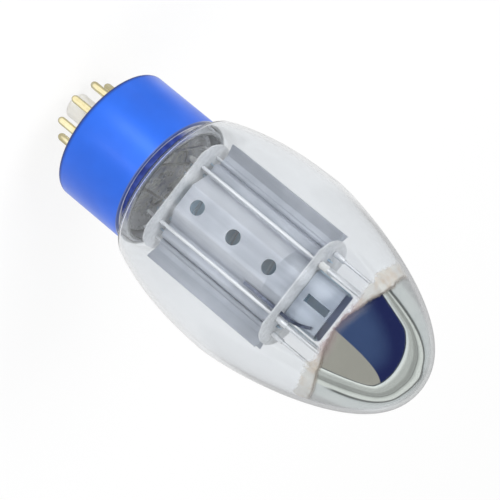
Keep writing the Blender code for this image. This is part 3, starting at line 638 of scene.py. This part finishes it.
def bulb_line():
    """Outside of the bulb from the dome's top to the neck's foot."""
    line = []
    for row in range(DOME_ROWS + 1):
        height = DOME_HEIGHT * (1 - (row / DOME_ROWS) ** 2)
        line.append(Vector((dome_radius(height), BULB_CENTRE_Z + height)))
    drop = BULB_CENTRE_Z - SHOULDER_Z
    for row in range(1, BOWL_ROWS):
        depth = drop * row / BOWL_ROWS
        line.append(Vector((bowl_radius(depth), BULB_CENTRE_Z - depth)))
    corner = (bowl_radius(drop), SHOULDER_Z)
    inner = (NECK_RADIUS, SHOULDER_Z)
    foot = (NECK_RADIUS, NECK_FOOT_Z)
    turn = bend(line[-1], corner, inner, SHOULDER_ROUND, steps=12)
    line = [point for point in line if point.y > turn[0].y + ROW_SPACING]
    line += turn + bend(turn[-1], inner, foot, NECK_ROUND, steps=6)
    line.append(Vector(foot))
    return line


def inset(line, wall):
    """The same line moved in by a wall, square to itself."""
    moved = []
    for index, point in enumerate(line):
        before = line[max(index - 1, 0)]
        after = line[min(index + 1, len(line) - 1)]
        along = (after - before).normalized()
        moved.append(point + Vector((along.y, -along.x)) * wall)
    moved[0] = Vector((0.0, line[0].y - wall))
    moved[-1] = Vector((line[-1].x - wall, line[-1].y))
    return [point for point in moved if point.x >= 0]


def stretch(line, low, high):
    """Points of a line between two heights."""
    return [point for point in line if low <= point.y < high]


def make_bulb():
    outside = bulb_line()
    inside = inset(outside, BULB_WALL)
    bm = spun(outside + inside[::-1])
    finish_piece("bulb", bm, bulb_glass("bulb_glass"), ["glass_bulb"])


def make_smear_and_reflection():
    line = bulb_line()
    inner = stretch(inset(line, -SMEAR_GAP), NECK_FOOT_Z, SHOULDER_Z)
    outer = stretch(inset(line, -SMEAR_GAP - SMEAR_THICKNESS), NECK_FOOT_Z, SHOULDER_Z)
    bm = spun(inner + outer[::-1], closed=True)
    finish_piece("cement_smear_and_painted_reflection", bm, cement_smear_and_painted_reflection("cement_smear_and_painted_reflection"))


def make_film():
    line = bulb_line()
    outer = stretch(inset(line, BULB_WALL + FILM_GAP), FILM_FOOT_Z, BULB_TOP_Z)
    inner = stretch(inset(line, BULB_WALL + FILM_GAP + FILM_THICKNESS), FILM_FOOT_Z, BULB_TOP_Z)
    bm = spun(outer + inner[::-1])
    finish_piece("silvered_film", bm, silver_film("silvered_film"))


# Base

def make_shell():
    """Drawn cup with a rounded rim, a rounded bottom edge and a turned-in lip."""
    inner = SHELL_RADIUS - SHELL_WALL
    lip = SHELL_RADIUS - SHELL_LIP
    rim = bend((inner, SHELL_HEIGHT), (SHELL_RADIUS, SHELL_HEIGHT), (SHELL_RADIUS, 0), SHELL_RIM_ROUND,
               steps=5)
    low = bend((SHELL_RADIUS, SHELL_HEIGHT), (SHELL_RADIUS, 0), (lip, 0), SHELL_EDGE_RADIUS, steps=8)
    high = bend((lip, SHELL_WALL), (inner, SHELL_WALL), (inner, SHELL_HEIGHT),
                SHELL_EDGE_RADIUS - SHELL_WALL, steps=5)
    profile = [(inner, SHELL_HEIGHT)] + rim + low + [(lip, 0), (lip, SHELL_WALL)] + high
    bm = spun(profile, closed=True)
    finish_piece("shell", bm, blue_anodised("blue_anodised"), ["base_shell"])


def make_pins():
    """Hollow pins with a flat head, open above, and a rounded closed tip."""
    plating = gold("gold_plating")
    for number in range(1, PIN_COUNT + 1):
        node = f"pin_{number}"
        low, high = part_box(node)
        foot, top = low[2], high[2]
        tip = []
        for step in range(PIN_TIP_STEPS + 1):
            angle = TAU / 4 * step / PIN_TIP_STEPS
            rise = PIN_TIP_STRETCH * PIN_RADIUS * (1 - math.cos(angle))
            tip.append((PIN_RADIUS * math.sin(angle), foot + rise))
        head = (high[0] - low[0]) / 2
        neck = top - PIN_HEAD_HEIGHT
        bottom = foot + PIN_BORE_FLOOR
        profile = tip + [(PIN_RADIUS, neck), (head, neck), (head, top), (PIN_BORE, top), (PIN_BORE, bottom),
                         (0, bottom)]
        bm = spun(profile, SMALL_ROUND, centre=middle(node))
        finish_piece(f"contact_{number}", bm, plating, [node])


# Cage

def make_rods():
    """Drawn rods with rounded ends; their bright nickel is returned for the other wires."""
    bright = metal("bright_nickel", tone(254, 254, 254), tone(244, 245, 247), 0.22, 0.35, 2500.0)
    for side in ("left", "right"):
        for node in (f"anode_rod_{side}", f"cage_rod_front_{side}", f"cage_rod_back_{side}"):
            low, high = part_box(node)
            foot, top = low[2], high[2]
            radius = (high[0] - low[0]) / 2
            rounding = radius * ROD_END_ROUND
            upper = bend((0, top), (radius, top), (radius, foot), rounding, steps=4)
            lower = bend((radius, top), (radius, foot), (0, foot), rounding, steps=4)
            bm = spun([(0, top)] + upper + lower + [(0, foot)], SMALL_ROUND, centre=middle(node))
            finish_piece("drawn_" + node, bm, bright, [node])
    return bright


def make_beads(ceramic):
    """Pressed beads with rounded ends; the lower one narrows towards its tip."""
    for node, share in (("rod_bead_upper", 1.0), ("rod_bead_lower", BEAD_TIP)):
        low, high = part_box(node)
        foot, top = low[2], high[2]
        radius = (high[0] - low[0]) / 2
        upper = bend((BEAD_BORE, top), (radius, top), (radius, foot), BEAD_ROUND, steps=5)
        waist = (radius, foot + BEAD_WAIST * (top - foot))
        tip = bend(waist, (radius * share, foot), (BEAD_BORE, foot), BEAD_ROUND * share, steps=5)
        side = [waist] if share < 1 else []
        profile = [(BEAD_BORE, top)] + upper + side + tip + [(BEAD_BORE, foot)]
        bm = spun(profile, SMALL_ROUND, closed=True, centre=middle(node))
        finish_piece("pressed_" + node, bm, ceramic, [node])


make_bulb()
make_smear_and_reflection()
make_film()
make_shell()
make_pins()
NICKEL = make_rods()

# Finishes of the carried-over pieces

ANODE = metal("carbonised_nickel", tone(202, 206, 214), tone(181, 186, 195), 0.42, 0.5, 700.0, 90.0)
FIN = metal("fin_nickel", tone(186, 194, 205), tone(165, 173, 186), 0.38, 0.5, 700.0, 90.0)
FIN_BACK = fin_wall("fin_back")
RIBBON = metal("blackened_nickel", tone(110, 116, 134), tone(82, 89, 108), 0.32, 0.6)
LEAD = metal("lead_wire", tone(216, 214, 210), tone(180, 176, 170), 0.25)
# Painted light: grid wire and beam plates are paler and bluer than their metals, standing in for light inside
# the anode.
PAINTED_LIGHT_WIRE = metal("grid_wire_painted_light", tone(196, 214, 226), tone(172, 192, 206), 0.4, 0.2)
PAINTED_LIGHT_PLATE = metal("beam_plate_painted_light", tone(212, 230, 244), tone(194, 213, 231), 0.4, 0.1)
CERAMIC = dull("white_ceramic", tone(254, 253, 250), tone(246, 245, 241), 0.45)
make_beads(CERAMIC)
CEMENT = dull("base_cement", tone(236, 236, 240), tone(208, 208, 214), 0.85)
# Painted light: the oxide coat is paler and bluer than it is, standing in for light inside the anode.
PAINTED_LIGHT_OXIDE = dull("oxide_coat_painted_light", tone(204, 238, 255), tone(186, 222, 245), 0.9)
MICA = mica_sheet("mica_sheet")
STEM = smoky_glass("stem_glass")

FINISHES = {
    "anode_front": ANODE, "anode_back": ANODE, "cooling_fin_front": FIN, "cooling_fin_back": FIN_BACK,
    "fin_lead": RIBBON, "lower_mica": MICA, "upper_mica": MICA, "base_insulator": CERAMIC,
    "base_cement": CEMENT, "glass_stem": STEM,
    "cathode_sleeve": PAINTED_LIGHT_OXIDE, "heater": PAINTED_LIGHT_OXIDE, "control_grid": PAINTED_LIGHT_WIRE, "screen_grid": PAINTED_LIGHT_WIRE,
    "beam_plate_left": PAINTED_LIGHT_PLATE, "beam_plate_right": PAINTED_LIGHT_PLATE, "anode_sleeve_left": NICKEL,
    "anode_sleeve_right": NICKEL, "rod_sleeve_right": NICKEL, "getter_bridge_left": NICKEL,
    "getter_bridge_right": NICKEL, "getter_ring_left": NICKEL, "getter_ring_right": NICKEL,
}
for name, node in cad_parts.items():
    finish = FINISHES.get(name, LEAD if name.startswith("lead_") else None)
    if finish:
        for entry in node.material_slots:
            entry.material = finish


# Stage

def ray_kinds(tree):
    """Two masks: rays seen straight or through glass, and rays that a piece has mirrored."""
    path = add(tree, "LightPath")
    seen = calc(tree, "MAXIMUM", path.outputs["Is Camera Ray"], path.outputs["Is Transmission Ray"])
    return seen, calc(tree, "GREATER_THAN", path.outputs["Glossy Depth"], 0.5)


def floor_shine(tree, spot):
    """Brightness of the mirrored floor: strips in front, greyer left of the base, behind it and far back."""
    y = spot["Y"]
    turn = calc(tree, "DIVIDE", calc(tree, "ARCTAN2", spot["X"], times(tree, y, -1.0)), math.pi)
    reach = flat_reach(tree, spot)
    near = times(tree, ramp(tree, y, *FLOOR_NEAR_Y, *FLOOR_NEAR_SHINE), ramp(tree, reach, *FLOOR_NEAR_REACH))
    strips = times(tree, bands(tree, turn, FLOOR_STRIPS), ramp(tree, reach, *FLOOR_STRIP_REACH))
    level = plus(tree, plus(tree, FLOOR_SHINE, near), strips)
    beside = times(tree, between(tree, turn, *FLOOR_SIDE_TURN, soft=0.05),
                   between(tree, reach, *FLOOR_SIDE_REACH, soft=0.006))
    level = minus(tree, level, times(tree, beside, FLOOR_SIDE_SHADE))
    behind = times(tree, ramp(tree, reach, *FLOOR_BACK_REACH), ramp(tree, y, *FLOOR_BACK_Y))
    return minus(tree, level, times(tree, behind, FLOOR_BACK_SHADE))


def make_floor():
    """Pale floor that keeps the tube's shadow; polished pieces mirror it by its shine."""
    bm = bmesh.new()
    bmesh.ops.create_grid(bm, x_segments=1, y_segments=1, size=FLOOR_SIZE / 2)
    bmesh.ops.translate(bm, vec=(0, 0, CAD_BOX[0][2] - FLOOR_GAP), verts=bm.verts)
    mesh = bpy.data.meshes.new("floor")
    bm.to_mesh(mesh)
    bm.free()
    material, tree, out, place = start_material("pale_floor")
    seen, mirrored = ray_kinds(tree)
    plain = add(tree, "BsdfDiffuse", {"Color": FLOOR_COLOUR})
    white = add(tree, "Emission", {"Color": WHITE, "Strength": 1.0})
    shine = add(tree, "Emission", {"Color": WHITE, "Strength": floor_shine(tree, axes(tree, place))})
    mixed = add(tree, "MixShader", {0: times(tree, seen, FLOOR_WHITE_SHARE), 1: plain.outputs[0],
                                    2: white.outputs[0]})
    mixed = add(tree, "MixShader", {0: mirrored, 1: mixed.outputs[0], 2: shine.outputs[0]})
    tree.links.new(mixed.outputs[0], out.inputs[0])
    mesh.materials.append(material)
    put("floor", mesh)


def seam_line(tree, x):
    """The tent's seam: a broad arch with a low peak in its middle."""
    aside = calc(tree, "ABSOLUTE", x)
    hoop = calc(tree, "MAXIMUM", minus(tree, 1.0, calc(tree, "POWER", aside, SEAM_ROUNDNESS)), 0.0)
    peak = ramp(tree, aside, SEAM_PEAK_REACH, 0.0, 0.0, SEAM_PEAK)
    return calc(tree, "MULTIPLY_ADD", calc(tree, "POWER", hoop, SEAM_FLATNESS), SEAM_HEIGHT, peak)


def opening_line(tree, x):
    """Upper edge of the tent's dark opening: bowed, and falling away at both ends."""
    bow = times(tree, times(tree, x, x), calc(tree, "MULTIPLY_ADD", x, OPENING_LEAN, OPENING_BOW))
    drop = plus(tree, ramp(tree, x, *OPENING_DROP_LEFT_X, 0.0, OPENING_DROP_LEFT),
                ramp(tree, x, *OPENING_DROP_RIGHT_X, 0.0, OPENING_DROP_RIGHT))
    return minus(tree, minus(tree, bow, drop), OPENING_DEPTH)


def tent_cloth(tree, x, y, seam, opening, width):
    """Pale cloth: folded lining between opening and seam, plain beyond the seam, lit along the opening."""
    share = calc(tree, "DIVIDE", opening, calc(tree, "MAXIMUM", width, LEAST_LINING))
    lining = plus(tree, ramp(tree, share, *LINING_FALL, *LINING_FALL_LEVELS),
                  ramp(tree, share, *LINING_RISE, 0.0, LINING_RISE_LEVEL))
    lining = minus(tree, lining, bands(tree, share, LINING_FOLDS))
    beyond = blend(tree, ramp(tree, y, *TOP_CLOTH_Y), tone(192, 194, 194), tone(176, 177, 176))
    cloth = blend(tree, ramp(tree, seam, -SEAM_SOFTNESS, SEAM_SOFTNESS), tinted(tree, lining, 1.02, 0.97),
                  beyond)
    crease = times(tree, ramp(tree, calc(tree, "ABSOLUTE", seam), *CREASE_SEAM), ramp(tree, x, *CREASE_X))
    cloth = blend(tree, crease, cloth, tone(84, 86, 86))
    glow = times(tree, between(tree, opening, *GLOW_OPENING, soft=0.02), ramp(tree, x, *GLOW_X, *GLOW_SHARES))
    return blend(tree, glow, cloth, tone(208, 212, 215))


def opening_dark(tree, x, y, opening):
    """Inside of the opening: dark blue, greener below, with a plain panel beside it and a soft top edge."""
    dark = blend(tree, ramp(tree, y, *GREENER_Y), tone(35, 41, 82), tone(60, 76, 112))
    beside = minus(tree, x, calc(tree, "MULTIPLY_ADD", y, PANEL_SLOPE, PANEL_START))
    dark = blend(tree, ramp(tree, beside, *PANEL_EDGE), dark, tone(154, 151, 143))
    return blend(tree, ramp(tree, opening, *DARK_RIM), dark, tone(62, 67, 76))


def make_world():
    """White all round; polished pieces mirror a tent of pale cloth with its dark opening in front."""
    world = bpy.data.worlds.new("studio")
    bpy.context.scene.world = world
    world.use_nodes = True
    tree = world.node_tree
    tree.nodes.clear()
    out = add(tree, "OutputWorld")
    x, y, z = axes(tree, add(tree, "TexCoord").outputs["Generated"])

    upper = seam_line(tree, x)
    lower = opening_line(tree, x)
    opening = minus(tree, y, lower)
    cloth = tent_cloth(tree, x, y, minus(tree, y, upper), opening, minus(tree, upper, lower))
    dark = opening_dark(tree, x, y, opening)
    studio = blend(tree, ramp(tree, opening, *OPENING_EDGE), dark, cloth)
    front = times(tree, ramp(tree, z, *FRONT_Z), ramp(tree, y, *FRONT_Y))
    studio = blend(tree, front, studio, tinted(tree, bands(tree, x, FRONT_STRIPS), 1.05, 1.1))
    studio = blend(tree, ramp(tree, z, *HORIZON_Z), tone(178, 179, 179), studio)

    seen, mirrored = ray_kinds(tree)
    light = add(tree, "Background", {"Color": WHITE, "Strength": WORLD_LIGHT})
    white = add(tree, "Background", {"Color": WHITE, "Strength": WORLD_WHITE})
    tent = add(tree, "Background", {"Color": studio, "Strength": TENT_LIGHT})
    plain = add(tree, "MixShader", {0: seen, 1: light.outputs[0], 2: white.outputs[0]})
    mixed = add(tree, "MixShader", {0: mirrored, 1: plain.outputs[0], 2: tent.outputs[0]})
    tree.links.new(mixed.outputs[0], out.inputs[0])


def make_lamp(name, place, size, power):
    """Soft round lamp aimed at the tube; neither the camera nor any reflection shows it."""
    data = bpy.data.lights.new(name, "AREA")
    data.shape = "DISK"
    data.size = size
    data.energy = power
    lamp = put(name, data)
    lamp.location = place
    lamp.rotation_euler = (VIEW_TARGET - Vector(place)).to_track_quat("-Z", "Y").to_euler()
    lamp.visible_glossy = False
    lamp.visible_transmission = False
    lamp.visible_camera = False


def make_camera():
    data = bpy.data.cameras.new("camera")
    data.lens = VIEW_LENS
    data.sensor_width = VIEW_SENSOR
    data.shift_x, data.shift_y = VIEW_SHIFT
    data.clip_start = VIEW_NEAREST
    camera = put("camera", data)
    turn, lift = math.radians(VIEW_AZIMUTH), math.radians(VIEW_ELEVATION)
    away = Vector((math.sin(turn) * math.cos(lift), -math.cos(turn) * math.cos(lift), math.sin(lift)))
    upright = (-away).to_track_quat("-Z", "Y").to_matrix()
    camera.location = VIEW_TARGET + away * VIEW_DISTANCE
    camera.rotation_euler = (upright @ Matrix.Rotation(math.radians(VIEW_ROLL), 3, "Z")).to_euler()
    bpy.context.scene.camera = camera


make_floor()
make_world()
make_lamp("key", place=(-0.6, -0.7, 0.8), size=0.7, power=9.3)
make_lamp("fill", place=(0.8, -0.3, 0.5), size=0.8, power=2.5)
make_camera()

scene = bpy.context.scene
scene.view_settings.view_transform = "Standard"
scene.cycles.max_bounces = 24
scene.cycles.transmission_bounces = 20
scene.cycles.transparent_max_bounces = 24
scene.cycles.use_denoising = True
